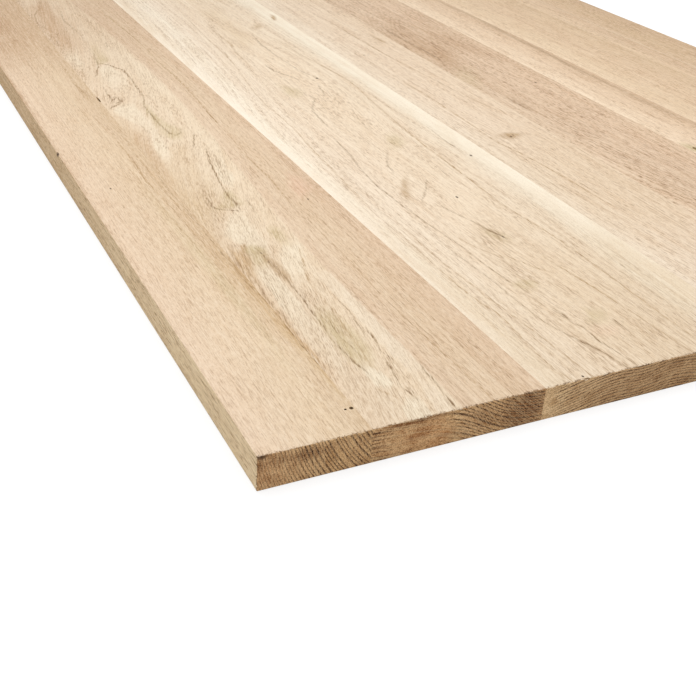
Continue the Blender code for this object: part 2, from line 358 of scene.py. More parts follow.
         (1020, 177, 1, 0)),
    line(FAWN, (-20, 166, 1, 0.6), (40, 165, 0.9, 0.7), (90, 163.5, 0.9, 0.6), (160, 163, 0.9, 0.4),
         (230, 166, 0.9, 0.4), (330, 165, 1, 0.3), (400, 169.5, 1.3, 0.8), (430, 169, 1.3, 0.8),
         (480, 170, 1.1, 0.5), (540, 176, 0.8, 0)),
)

STAVE_3_MARKS = (
    # Broad tan areas. The first three darken the near end: painted shade where the light falls off towards it
    patch(TAN, 1.0, (-120, 305, 130, 0.4), (0, 305, 130, 0.4), (120, 305, 130, 0.35), (240, 305, 130, 0.1),
          (330, 305, 130, 0)),
    patch(TAN, 1.0, (-20, 392, 18, 0.5), (120, 392, 18, 0.4), (240, 392, 18, 0.1), (330, 392, 18, 0)),
    patch(TAN, 1.0, (-20, 216, 16, 0.4), (120, 216, 16, 0.35), (260, 216, 16, 0.2), (420, 216, 16, 0)),
    patch(TAN, 1.0, (640, 216, 16, 0), (800, 216, 16, 0.25), (950, 216, 16, 0.4), (1150, 216, 16, 0.3),
          (1400, 216, 16, 0)),
    # Long lines and torn patches
    line(FAWN, (-20, 350, 1, 0.5), (60, 349.5, 1.2, 0.8), (120, 351, 1.2, 0.7), (200, 352, 1.3, 0.8),
         (270, 346.5, 1.4, 0.8), (320, 348, 1.4, 0.9), (380, 350.5, 1.4, 0.9), (440, 352.5, 1.5, 0.9),
         (520, 358, 1.4, 0.6), (590, 365, 1.6, 0.8), (640, 370, 1.6, 0.8), (690, 367, 1.6, 0.9),
         (750, 360, 1.6, 0.5), (830, 355, 1.5, 0.4), (900, 346, 1.5, 0)),
    line(FAWN, (-20, 334, 1, 0.6), (30, 332, 1.1, 0.6), (75, 329, 1.1, 0.7), (110, 326.5, 1.3, 1),
         (140, 323, 1.3, 0.9), (170, 321, 1, 0.5), (230, 322, 1, 0)),
    line(UMBER, (-20, 286, 1, 0.5), (8, 283.5, 1, 0.6), (22, 281.5, 1, 0.6), (38, 279.5, 1.4, 0.9),
         (56, 280, 1.1, 0.8), (70, 277.5, 1.1, 0.7), (84, 277, 2.5, 0.6), (96, 275, 1, 0)),
    line(UMBER, (-20, 278, 1, 0.6), (8, 274.5, 1.2, 0.7), (24, 272, 1.1, 0.6), (40, 267.5, 2.4, 0.8),
         (54, 262.5, 1.2, 0.7), (75, 258, 1, 0.7), (105, 256, 1, 0.5), (160, 256, 1, 0.4), (205, 253, 1, 0.4),
         (260, 256, 1, 0)),
    patch(OLIVE, 0.5, (118, 276, 5, 0), (128, 278, 9, 0.4), (136, 278, 9, 0.5), (144, 275, 4, 0)),
    line(UMBER, (130, 268.5, 1, 0), (142, 268, 1.2, 0.6), (160, 266.5, 1, 0.7), (185, 265.5, 1, 0.5),
         (210, 265, 1, 0.4), (235, 262.5, 1, 0.6), (270, 259.5, 1.1, 0.5), (300, 258, 1.2, 0.5),
         (345, 257, 1.2, 0.8), (370, 258.5, 1.1, 0.8), (400, 262, 1.2, 0.5), (420, 266, 1.4, 0.6),
         (460, 270.5, 1.2, 0.5), (500, 273, 1.2, 0)),
    line(FAWN, (138, 310, 2, 0), (146, 308, 2.5, 0.6), (153, 303, 2, 0.6), (166, 297.5, 1.2, 0.8),
         (178, 292, 1.2, 0.7), (187, 284, 1.4, 0.6), (198, 278, 1.2, 0.5), (212, 274, 1, 0.7),
         (228, 271, 0.8, 0.5), (250, 269, 1, 0)),
    patch(OLIVE, 0.5, (200, 308, 4, 0), (212, 307, 7, 0.4), (228, 304, 6, 0.35), (240, 302, 4, 0)),
    line(UMBER, (206, 310, 1, 0), (214, 309, 1.4, 1), (226, 305.5, 1.4, 1), (238, 302.5, 1.2, 0.7),
         (255, 299, 1.1, 0.4), (280, 293, 1.5, 0.5), (296, 291, 1, 0)),
    patch(OLIVE, 0.5, (56, 296, 5, 0), (66, 298, 9, 0.4), (76, 303, 8, 0.4), (88, 300, 4, 0)),
    line(UMBER, (40, 309, 1.2, 0), (48, 308.5, 1.8, 0.6), (58, 309, 1.6, 0.5), (66, 310, 1, 0)),
    patch(SALMON, 1.0, (38, 294, 6, 0), (50, 294, 10, 0.35), (62, 292, 5, 0)),
    line(FAWN, (300, 228.5, 1, 0), (350, 230.5, 1.3, 0.6), (400, 234.5, 1.3, 0.7), (460, 238, 1.4, 0.8),
         (520, 244, 1.3, 0.6), (620, 246, 1.3, 0.6), (700, 257, 1.3, 0.4), (780, 267, 1.4, 0.8),
         (860, 270, 1.5, 0.5), (950, 276, 1.5, 0.5), (1040, 280, 1.5, 0)),
    line(FAWN, (-20, 230, 1, 0.7), (40, 226, 1, 0.5), (95, 231, 1.2, 0.8), (130, 227, 1.1, 0.9),
         (180, 226.5, 1, 0.6), (230, 228, 1, 0.6), (290, 229, 1, 0)),
    line(FAWN, (-20, 246, 1, 0.6), (50, 243, 1, 0.7), (110, 239, 1.2, 0.7), (170, 236, 1, 0.6),
         (230, 235, 1, 0.5), (300, 238, 1, 0)),
    patch(FAWN, 0.9, (300, 268, 3, 0), (320, 272, 4, 0.5), (340, 281, 4, 0.6), (356, 290, 3, 0.3),
          (372, 296, 3, 0)),
    line(UMBER, (300, 277, 1, 0), (312, 286, 2, 0.5), (325, 295, 1.6, 0.4), (342, 305, 1.5, 0.5),
         (352, 309, 1, 0)),
    line(UMBER, (360, 282, 1, 0), (378, 288, 1.5, 0.4), (392, 290, 2, 0.5), (404, 296, 2, 0.5),
         (418, 303, 2, 0.3), (440, 312, 2, 0)),
    patch(OLIVE, 0.9, (420, 316, 4, 0), (440, 326, 8, 0.4), (456, 331, 7, 0.5), (480, 338, 6, 0)),
    line(UMBER, (500, 280, 1.4, 0), (525, 282, 1.4, 0.6), (545, 284, 1.4, 0.6), (565, 287, 1.8, 0.4),
         (590, 300, 2, 0.5), (605, 304, 1.8, 0.5), (620, 300, 1, 0)),
    patch(OLIVE, 0.9, (600, 286, 5, 0), (625, 291, 9, 0.6), (645, 290, 6, 0.4), (665, 282, 3, 0)),
    line(UMBER, (660, 312, 1.2, 0), (678, 312, 1.5, 0.6), (700, 303, 1.4, 0.5), (722, 299.5, 1.6, 0.8),
         (740, 300, 1, 0)),
    line(UMBER, (655, 340, 1.6, 0), (680, 336, 1.6, 0.6), (700, 331, 1.6, 0.6), (740, 328, 1.4, 0.4),
         (790, 327, 1.6, 0.6), (830, 328, 2, 0.5), (860, 333, 1.5, 0.3), (900, 336, 1.5, 0)),
    line(UMBER, (600, 322, 1, 0), (620, 324, 1.5, 0.7), (640, 328, 1.2, 0.4), (660, 334, 1, 0)),
    line(FAWN, (690, 274, 2, 0), (740, 279, 2, 0.5), (800, 284, 2, 0.4), (830, 290, 2.5, 0.9),
         (880, 290, 2, 0.5), (960, 297, 2, 0)),
    patch(TAN, 1.0, (780, 292, 10, 0), (840, 310, 14, 0.4), (900, 314, 12, 0.4), (1000, 322, 14, 0.3),
          (1100, 325, 10, 0)),
    line(UMBER, (404, 380, 0.8, 0), (416, 379.5, 1.1, 0.8), (440, 379.5, 1, 0.7), (465, 381, 0.8, 0.4),
         (490, 383, 0.8, 0)),
    patch(FAWN, 0.9, (880, 346, 4, 0), (896, 352, 7, 0.5), (906, 358, 6, 0.4), (920, 362, 4, 0)),
    patch(FAWN, 0.9, (918, 388, 1.5, 0), (930, 391, 3, 0.9), (945, 395, 3, 0.8), (960, 397, 1.5, 0)),
)

STAVE_4_MARKS = (
    patch(TAN, 1.0, (120, 455, 60, 0), (230, 455, 70, 0.3), (360, 455, 70, 0.25), (470, 455, 70, 0)),
    line(FAWN, (200, 444, 1, 0), (260, 442, 1.3, 0.8), (330, 440, 1.3, 0.8), (380, 435, 1.3, 0.7),
         (410, 430.5, 1.3, 0.8), (460, 431, 1.4, 0.8), (520, 433, 1.6, 0.9), (600, 433, 1.5, 0.7),
         (700, 430, 1.5, 0.4), (850, 426, 2, 0)),
    line(FAWN, (480, 486, 1.2, 0), (520, 482, 1.4, 0.5), (580, 475, 1.5, 0.5), (640, 470, 1.5, 0.5),
         (720, 464.5, 1.6, 0.8), (800, 462, 1.8, 0.9), (880, 461, 1.6, 0.6), (980, 456, 1.5, 0)),
    patch(FAWN, 1.0, (415, 450, 5, 0), (423, 453, 10, 0.8), (431, 455, 10, 0.8), (441, 452, 4, 0)),
    patch(FAWN, 1.0, (770, 488, 2, 0), (790, 487, 4, 0.6), (815, 487, 3, 0.4), (840, 490, 3, 0)),
)

STAVE_5_MARKS = (
    patch(BROWN, 1.0, (600, 520, 10, 0), (680, 524, 16, 0.6), (740, 530, 28, 0.8), (790, 530, 26, 0.6),
          (850, 540, 20, 0.4), (960, 560, 14, 0)),
    patch(BROWN, 1.0, (640, 600, 8, 0), (720, 585, 14, 0.5), (800, 580, 14, 0.5), (900, 590, 12, 0)),
    patch(UMBER, 0.9, (480, 524, 2, 0), (500, 524, 4, 0.2), (525, 523, 4, 0.25), (545, 525, 2, 0)),
    line(UMBER, (670, 517, 2, 0), (700, 521, 2.4, 0.6), (760, 520, 2.4, 0.5), (830, 519, 2.4, 0.5),
         (880, 522, 2, 0)),
    patch(OLIVE, 1.0, (560, 500, 6, 0), (600, 510, 12, 0.3), (640, 525, 12, 0.3), (670, 535, 8, 0)),
)

STAVE_6_MARKS = (
    patch(UMBER, 1.0, (400, 672, 2, 0), (450, 673, 3, 0.3), (520, 672, 3, 0.2), (600, 672, 3, 0.35),
          (680, 674, 3, 0.4), (760, 674, 3.4, 0.35), (850, 677, 3, 0.35), (960, 674, 3, 0.2),
          (1100, 672, 3, 0)),
    patch(OLIVE, 1.0, (316, 620, 4, 0), (326, 623, 7, 0.9), (340, 622, 7, 0.8), (356, 620, 4, 0)),
)

STAVE_8_MARKS = (
    line(CREAM, (300, 832, 1, 0), (500, 832, 1.4, 0.4), (700, 832, 1.4, 0.5), (1000, 833, 1.4, 0.4),
         (1300, 834, 1, 0)),
)


@dataclass
class Board:
    """What tells one board of the panel from the next. All lengths are in millimetres.

    tones    (X, colour): the tone across the show face, from sapwood to heartwood
    pith     (X, Z): where the middle of the tree was, in the cross-section
    ring     spacing of the growth rings at the pith
    tighten  share of that spacing which the rings lose for each millimetre away from the pith
    taper    how much ring radius is gained for each millimetre along the board
    bends    (X, Y, across, along, push): grain pushed sideways round a knot or a crook in the stem
    swells   (X, Y, across, along, height): rings lifted into the face, which shows them as ovals
    marks    lines and patches of the figure, and a few broad patches of painted shade
    knots    (X, Y, across, along, strength): dark cores
    calm     (X, share): left of X, rings lie flat to the face and cross it at only this share
    lean     (X, slope): left of X, the fibres lean over by this slope
    smears   (X, Z, across, down, share): reddish stains that hide the rings on the sawn ends
    stains   (X, Z, across, down, share): dark stains on the sawn ends, through which the rings show
    clear    (X, Y, across, along, share): plain sapwood, in which rings, hairs and pores fade
    lines    strength of the ring lines on the show face
    flecks   strength of the hairs and pores on the show face
    streaks  strength of the long darker streaks
    mottle   strength of the soft darker clouds
    seed     tells its noises and its torn nicks from those of the other boards
    """

    slot: str
    tones: tuple
    pith: tuple
    ring: float
    tighten: float = 0.0
    taper: float = 0.002
    bends: tuple = ()
    swells: tuple = ()
    marks: tuple = ()
    knots: tuple = ()
    calm: tuple = ()
    lean: tuple = ()
    smears: tuple = ()
    stains: tuple = ()
    clear: tuple = ()
    lines: float = 0.3
    flecks: float = 0.4
    streaks: float = 0.4
    mottle: float = 0.25
    seed: float = 0.0


BOARDS = {
    "stave_1": Board(
        slot="oak_stave_1",
        tones=((0, "#ecd4b9"), (30, "#e9d2b5"), (55, "#e7d0b1"), (68, "#e2caab"), (77, "#dcc3a2")),
        pith=(121, 25),
        ring=4.0,
        tighten=0.0042,
        bends=((77, 660, 60, 190, -7),),
        marks=STAVE_1_MARKS,
        # The last knot and the first stain are neither knot nor stain: they darken a short line at the near
        # left corner, along the top arris of the end
        knots=((74.8, 26.4, 2.0, 2.2, 1.0), (70.6, 26.4, 1.3, 1.4, 1.0), (25, 421, 1.5, 2.5, 0.5),
               (0, 520, 2.5, 7, 0.6), (3, 0, 7, 1.2, 0.4)),
        stains=((3, -0.8, 9, 2.4, 1.0), (1, -7, 6, 8, 0.9), (14, -6, 14, 7, 0.6), (34, -7, 22, 8, 0.8),
                (50, -5, 10, 6, 0.4)),
        smears=((6, -16, 40, 40, 0.45),),
        lines=0.15,
        flecks=0.2,
        streaks=0.15,
        seed=3.1,
    ),
    "stave_2": Board(
        slot="oak_stave_2",
        tones=((77, "#e8d2b6"), (100, "#e9d5ba"), (128, "#ecd8bc"), (140, "#ecd8bc"), (142, "#e4ccb0"),
               (170, "#e2caac"), (206.5, "#e1c7aa")),
        pith=(209, 71),
        ring=2.4,
        bends=((150, 740, 110, 620, 19.5),),
        swells=((112, 150, 24, 150, 4), (116, 590, 30, 260, 6), (92, 646, 16, 40, 6)),
        marks=STAVE_2_MARKS,
        knots=((77, 664, 1.8, 10.5, 1.0), (103, 237, 1.2, 3.2, 0.3), (103.3, 254, 1.3, 3.2, 0.3),
               (106, 227, 1.2, 2.4, 0.2), (183.5, 342, 1.2, 2.6, 0.6)),
        calm=(142, 0.06),
        lean=(142, 0.17),
        smears=((104, -14, 40, 30, 1.0), (126, -17, 22, 32, 1.0)),
        stains=((105, -1.8, 32, 2.6, 1.0), (160, -10, 16, 16, 0.5), (192, -12, 30, 30, 1.0)),
        lines=0.3,
        flecks=0.24,
        streaks=0.25,
        seed=11.7,
    ),
    "stave_3": Board(
        slot="oak_stave_3",
        tones=((206.5, "#faeedb"), (219, "#f7ead5"), (229, "#f3e3cd"), (262, "#f1dfc7"), (310, "#f0ddc3"),
               (366, "#eedcc3"), (384, "#f2e5cf"), (404, "#f8ecd7")),
        pith=(300, -290),
        ring=2.3,
        taper=0.011,
        bends=((235, 1050, 90, 700, 26), (300, 0, 60, 300, 12), (345, 660, 60, 260, 14),
               (385, 0, 60, 300, -10)),
        swells=((338, 667, 22, 50, 5), (292, 60, 34, 120, 4), (290, 360, 34, 160, 4)),
        marks=STAVE_3_MARKS,
        knots=((315, 302, 1.6, 3.2, 0.9), (338, 667, 2.2, 3.6, 0.9), (383, 390, 1.7, 3.2, 0.9),
               (309, 214, 1.2, 3.5, 0.6), (239, 3.6, 1.3, 2.0, 0.8)),
        stains=((300, -13, 110, 400, 0.5),),
        clear=((398, 1000, 30, 9000, 1.0), (206, 1000, 22, 9000, 1.0)),
        lines=0.4,
        flecks=0.28,
        streaks=0.25,
        seed=23.9,
    ),
    "stave_4": Board(
        slot="oak_stave_4",
        tones=((404, "#efdec7"), (440, "#eedac1"), (472, "#ecd7bd"), (503, "#ebd5ba")),
        pith=(690, 90),
        ring=3.6,
        bends=((450, 427, 40, 120, 6), (445, 60, 50, 260, 8), (470, 930, 60, 260, -8)),
        swells=((454, 427, 12, 30, 5),),
        marks=STAVE_4_MARKS,
        knots=((453, 424, 2.2, 3.0, 0.5), (458, 428, 1.4, 2.0, 0.45)),
        lines=0.22,
        flecks=0.3,
        streaks=0.25,
        seed=31.3,
    ),
    "stave_5": Board(
        slot="oak_stave_5",
        tones=((503, "#e7cfb3"), (520, "#e4cbaf"), (580, "#e5caad"), (614, "#e4c9ab")),
        pith=(470, -60),
        ring=2.4,
        bends=((540, 120, 70, 420, 22),),
        marks=STAVE_5_MARKS,
        knots=((587, 577, 1.6, 4, 0.8),),
        lines=0.4,
        flecks=0.5,
        streaks=0.4,
        seed=43.7,
    ),
    "stave_6": Board(
        slot="oak_stave_6",
        tones=((614, "#f7e1c5"), (632, "#f0d8bb"), (652, "#ebd1b3"), (665, "#e5caab"), (681, "#dabd9d")),
        pith=(560, 40),
        ring=2.2,
        swells=((622.5, 332, 12, 26, 5),),
        marks=STAVE_6_MARKS,
        knots=((623.5, 332, 3.6, 6.0, 1.0),),
        lines=0.22,
        flecks=0.35,
        streaks=0.2,
        seed=59.9,
    ),
    "stave_7": Board(
        slot="oak_stave_7",
        tones=((681, "#f0d8b9"), (706, "#ead1b1"), (736, "#e6cbab"), (797, "#e1c6a4")),
        pith=(880, -45),
        ring=3.0,
        bends=((760, 560, 50, 200, 10),),
        lines=0.25,
        flecks=0.3,
        streaks=0.25,
        seed=67.1,
    ),
    "stave_8": Board(
        slot="oak_stave_8",
        tones=((797, "#ead0b0"), (828, "#e2c6a6"), (862, "#dec29f"), (900, "#d7b997")),
        pith=(930, 60),
        ring=1.9,
        bends=((850, 640, 60, 260, -9),),
        marks=STAVE_8_MARKS,
        lines=0.3,
        flecks=0.35,
        streaks=0.3,
        seed=79.3,
    ),
}


def linear(tone):
    """Turn an sRGB hex colour into the linear values that shaders take."""
    channels = [int(tone[start:start + 2], 16) / 255 for start in (1, 3, 5)]
    return (*[c / 12.92 if c <= 0.04045 else ((c + 0.055) / 1.055) ** 2.4 for c in channels], 1.0)


def add(tree, kind, inputs=None, stops=None, **settings):
    """Add a shader node, set it up and link it. A node given as an input stands for its first output."""
    node = tree.nodes.new("ShaderNode" + kind)
    for name, value in settings.items():
        setattr(node, name, value)
    for key, value in (inputs or {}).items():
        named = [s for s in node.inputs if s.enabled and s.name == key]
        socket = named[0] if named else node.inputs[key]
        if isinstance(value, bpy.types.Node):
            value = next(s for s in value.outputs if s.enabled)
        if isinstance(value, bpy.types.NodeSocket):
            tree.links.new(value, socket)
        else:
            socket.default_value = value
    for index, (position, colour) in enumerate(stops or ()):
        elements = node.color_ramp.elements
        element = elements[index] if index < 2 else elements.new(position)
        element.position = position
        element.color = colour
    return node


def grey(level):
    return (level, level, level, 1.0)


def lay(tree, under, colour, *shares, blend="MULTIPLY"):
    """Lay a colour over another one, as much as the product of its shares says.

    It multiplies what lies under it, as a stain does, or is mixed in as an opaque patch.
    """
    share, *others = shares
    for other in others:
        share = add(tree, "Math", {0: share, 1: other}, operation="MULTIPLY")
    return add(tree, "Mix", {
        "Factor": share, "A": under, "B": (*colour[:3], 1.0),
    }, data_type="RGBA", blend_type=blend)


def spots_total(tree, place, spots, depth=0.0):
    """The sum of (X, Y, across, along, amount) oval spots at a place, or None where there are none.

    A spot goes right through the board, or where a depth is given, only that far down from the face.
    """
    total = None
    down = 1 / depth if depth else 0
    for x, y, across, along, amount in spots:
        scaled = add(tree, "VectorMath", {
            0: place, 1: (1 / across, 1 / along, down), 2: (-x / across, -y / along, 0),
        }, operation="MULTIPLY_ADD")
        distance = add(tree, "VectorMath", {0: scaled}, operation="LENGTH")
        spot = add(tree, "MapRange", {
            "Value": distance.outputs["Value"], "To Min": amount, "To Max": 0.0,
        }, interpolation_type="SMOOTHERSTEP")
        total = spot if total is None else add(tree, "Math", {0: total, 1: spot}, operation="ADD")
    return total


def mark_share(tree, across, along, edge, points):
    """How strongly a mark covers a place. One ramp along the mark holds its X, half width and strength."""
    start, end = points[0][0], points[-1][0]
    way = add(tree, "MapRange", {"Value": along, "From Min": start, "From Max": end})
    path = add(tree, "ValToRGB", {"Fac": way}, stops=[
        ((y - start) / (end - start), (x * MM, half / MARK_REACH, strength, 1.0))
        for y, x, half, strength in points
    ])
    path.color_ramp.interpolation = "CARDINAL"
    held = add(tree, "SeparateColor", {"Color": path.outputs["Color"]})
    off = add(tree, "Math", {0: held.outputs["Red"], 1: -1 / MM, 2: across}, operation="MULTIPLY_ADD")
    off = add(tree, "Math", {0: off}, operation="ABSOLUTE")
    half = add(tree, "Math", {0: held.outputs["Green"], 1: MARK_REACH}, operation="MULTIPLY")
    off = add(tree, "Math", {0: off, 1: half}, operation="DIVIDE")
    return add(tree, "MapRange", {
        "Value": off, "From Min": edge[0], "From Max": edge[1], "To Min": held.outputs["Blue"], "To Max": 0.0,
    }, interpolation_type="SMOOTHSTEP")


def wander(tree, place, board, shift, grain, swing):
    """A noise vector from -swing to +swing, whose features are as long as grain, both in millimetres."""
    seed = board.seed + shift
    scaled = add(tree, "VectorMath", {
        0: place, 1: [1 / g for g in grain], 2: (seed, seed * 2, seed * 3),
    }, operation="MULTIPLY_ADD")
    cloud = add(tree, "TexNoise", {"Vector": scaled, "Scale": 1.0, "Detail": 1.0, "Roughness": 0.5})
    return add(tree, "VectorMath", {
        0: cloud.outputs["Color"], 1: [2 * s for s in swing], 2: [-s for s in swing],
    }, operation="MULTIPLY_ADD")


def wood_noise(tree, place, board, name):
    """One of the noises of the wood at a place, from 0 to 1."""
    shift, grain, detail, roughness = NOISES[name]
    seed = board.seed + shift
    scaled = add(tree, "VectorMath", {
        0: place, 1: [1 / g for g in grain], 2: (seed, seed, seed),
    }, operation="MULTIPLY_ADD")
    return add(tree, "TexNoise", {"Vector": scaled, "Scale": 1.0, "Detail": detail, "Roughness": roughness})


def find_grain(wood):
    """Find where a place is in the grain, whose fibres wander slowly and part round knots."""
    tree, board = wood.tree, wood.board
    position = add(tree, "TexCoord")
    place = add(tree, "Mapping", {
        "Vector": position.outputs["Object"],
        "Location": -NEAR_LEFT_TOP / MM,
        "Scale": (1 / MM, 1 / MM, 1 / MM),
    })
    slow = wander(tree, place, board, *FIBRE_WANDER)
    flow = add(tree, "VectorMath", {0: place, 1: slow}, operation="ADD")
    push = spots_total(tree, place, board.bends)
    if push:
        sideways = add(tree, "CombineXYZ", {"X": push})
        flow = add(tree, "VectorMath", {0: flow, 1: sideways}, operation="SUBTRACT")
    wood.place = place
    wood.facing = add(tree, "SeparateXYZ", {0: position.outputs["Normal"]})
    wood.level = add(tree, "SeparateXYZ", {0: place})
    wood.across = add(tree, "SeparateXYZ", {0: flow})

    # Rings, hairs and pores fade in clear sapwood
    wood.kept = []
    if board.clear:
        faded = spots_total(tree, place, board.clear)
        wood.kept = [add(tree, "Math", {0: 1.0, 1: faded}, operation="SUBTRACT", use_clamp=True)]


def run_fibres(wood):
    """Add the fibres, hair-thin lines and pores, which run along the grain and tear what crosses it."""
    tree, board = wood.tree, wood.board
    along = wood.level.outputs["Y"]
    upright = wood.across.outputs["X"]
    if board.lean:
        edge, slope = board.lean
        leaning = add(tree, "Math", {0: upright, 1: edge}, operation="LESS_THAN")
        leaning = add(tree, "Math", {0: leaning, 1: along}, operation="MULTIPLY")
        upright = add(tree, "Math", {0: leaning, 1: -slope, 2: upright}, operation="MULTIPLY_ADD")
    fibre = add(tree, "CombineXYZ", {"X": upright, "Y": along, "Z": wood.across.outputs["Z"]})

    # Hairs lie where their noise crosses its middle
    hairs = add(tree, "Math", {0: wood_noise(tree, fibre, board, "hairs"), 1: 0.5}, operation="SUBTRACT")
    hairs = add(tree, "Math", {0: hairs}, operation="ABSOLUTE")
    wood.hairs = add(tree, "MapRange", {
        "Value": hairs, "From Min": 0.01, "From Max": 0.06, "To Min": 1.0, "To Max": 0.0,
    })

    pores = wood_noise(tree, fibre, board, "pores")
    wood.fibre = fibre
    wood.fibres = wood_noise(tree, fibre, board, "fibres")
    wood.pores = pores
    wood.open_pores = add(tree, "MapRange", {"Value": pores, "From Min": 0.56, "From Max": 0.63})
    wood.dashes = add(tree, "MapRange", {
        "Value": pores, "From Min": 0.4, "From Max": 0.6, "To Min": 0.35, "To Max": 1.0,
    })
    wood.tears = add(tree, "MapRange", {
        "Value": wood_noise(tree, fibre, board, "tears"),
        "From Min": 0.3, "From Max": 0.7, "To Min": -1.0, "To Max": 1.0,
    })


def grow_rings(wood):
    """Add the growth rings round the pith, whose lines the fibres tear as they run in and out of a face."""
    tree, board = wood.tree, wood.board
    ring_x = wood.across.outputs["X"]
    if board.calm:
        edge, share = board.calm
        flat = add(tree, "Math", {0: ring_x, 1: share, 2: edge * (1 - share)}, operation="MULTIPLY_ADD")
        ring_x = add(tree, "Math", {0: ring_x, 1: flat, 2: CALM_BLEND}, operation="SMOOTH_MAX")
    from_pith_x = add(tree, "Math", {0: ring_x, 1: board.pith[0]}, operation="SUBTRACT")
    from_pith_z = add(tree, "Math", {0: wood.across.outputs["Z"], 1: board.pith[1]}, operation="SUBTRACT")
    spoke = add(tree, "CombineXYZ", {"X": from_pith_x, "Z": from_pith_z})
    radius = add(tree, "VectorMath", {0: spoke}, operation="LENGTH")
    radius = add(tree, "Math", {
        0: wood.level.outputs["Y"], 1: board.taper, 2: radius.outputs["Value"],
    }, operation="MULTIPLY_ADD")
    radius = add(tree, "Math", {0: wood.tears, 1: RING_TEAR, 2: radius}, operation="MULTIPLY_ADD")
    swell = spots_total(tree, wood.place, board.swells)
    if swell:
        radius = add(tree, "Math", {0: radius, 1: swell}, operation="ADD")
    wood.angle = add(tree, "Math", {0: from_pith_z, 1: from_pith_x}, operation="ARCTAN2")
    wood.radius = radius

    # How many rings lie inside this place
    uneven = add(tree, "TexNoise", {
        "W": add(tree, "Math", {0: radius, 1: 1 / UNEVEN_RINGS, 2: board.seed}, operation="MULTIPLY_ADD"),
        "Scale": 1.0, "Detail": 1.0,
    }, noise_dimensions="1D")
    if board.tighten:
        narrowed = add(tree, "Math", {0: radius, 1: -board.tighten, 2: 1.0}, operation="MULTIPLY_ADD")
        narrowed = add(tree, "Math", {0: narrowed, 1: math.e}, operation="LOGARITHM")
        rings = add(tree, "Math", {0: narrowed, 1: -1 / (board.tighten * board.ring)}, operation="MULTIPLY")
    else:
        rings = add(tree, "Math", {0: radius, 1: 1 / board.ring}, operation="MULTIPLY")
    rings = add(tree, "Math", {0: uneven, 1: RING_SHIFT, 2: rings}, operation="MULTIPLY_ADD")

    # Each ring starts with a dark line of open earlywood, and has its own weight
    in_ring = add(tree, "Math", {0: rings}, operation="FRACT")
    wood.ring_line = add(tree, "ValToRGB", {"Fac": in_ring}, stops=[
        (place, grey(darkness)) for place, darkness in RING_PROFILE
    ])
    ring_name = add(tree, "Math", {0: rings}, operation="FLOOR")
    weight = add(tree, "TexWhiteNoise", {"W": ring_name}, noise_dimensions="1D")
    weight = add(tree, "MapRange", {"Value": weight.outputs["Value"], "To Min": 0.2, "To Max": 1.0})
    wood.own_line = add(tree, "Math", {0: wood.ring_line, 1: weight}, operation="MULTIPLY")


def turned_to(wood, axis):
    """How far a surface is an edge or an end, which faces along an axis, either way."""
    side = add(wood.tree, "Math", {0: wood.facing.outputs[axis]}, operation="ABSOLUTE")
    return add(wood.tree, "MapRange", {"Value": side, "From Min": TURN_START, "From Max": TURN_END})


def tone_board(wood):
    """Give the board its tone from side to side, with long streaks and soft clouds in it."""
    tree, board, finish = wood.tree, wood.board, wood.finish
    left, right = board.tones[0][0], board.tones[-1][0]
    share = add(tree, "MapRange", {"Value": wood.across.outputs["X"], "From Min": left, "From Max": right})
    tone = add(tree, "ValToRGB", {"Fac": share}, stops=[
        ((x - left) / (right - left), linear(colour)) for x, colour in board.tones
    ])
    streaks = add(tree, "MapRange", {
        "Value": wood_noise(tree, wood.fibre, board, "streaks"),
        "From Min": 0.42, "From Max": 0.7, "To Max": board.streaks,
    })
    tone = lay(tree, tone, finish.streak_tint, streaks)
    clouds = wood_noise(tree, wood.fibre, board, "clouds")
    mottle = add(tree, "MapRange", {
        "Value": clouds, "From Min": 0.45, "From Max": 0.7, "To Max": board.mottle,
    })
    wood.clouds = clouds
    wood.tone = lay(tree, tone, finish.mottle_tint, mottle)


def draw_figure(wood):
    """The tone with the marks of the figure, and a few patches of painted shade, over it: fibres tear their
    edges, pores break the thin ones.
    """
    tree, board = wood.tree, wood.board
    wobble = wander(tree, wood.place, board, *MARK_WOBBLE)
    moved = add(tree, "VectorMath", {0: wood.place, 1: wobble}, operation="ADD")
    moved = add(tree, "SeparateXYZ", {0: moved})
    line_x = add(tree, "Math", {0: wood.tears, 1: LINE_TEAR, 2: moved.outputs["X"]}, operation="MULTIPLY_ADD")
    ragged = add(tree, "MapRange", {
        "Value": wood.fibres, "From Min": 0.3, "From Max": 0.7, "To Min": -PATCH_TEAR, "To Max": PATCH_TEAR,
    })
    patch_x = add(tree, "Math", {0: line_x, 1: ragged}, operation="ADD")
    patchy = add(tree, "MapRange", {
        "Value": wood.fibres, "From Min": 0.38, "From Max": 0.6, "To Min": 0.65, "To Max": 1.1,
    })
    figured = wood.tone
    for colour, softness, points in board.marks:
        if softness is None:
            x, edge, broken = line_x, LINE_EDGE, wood.dashes
        else:
            x, edge, broken = patch_x, (1 - softness, 1 + softness), patchy
        covered = mark_share(tree, x, moved.outputs["Y"], edge, points)
        figured = lay(tree, figured, linear(colour), covered, broken, blend="MIX")
    return figured


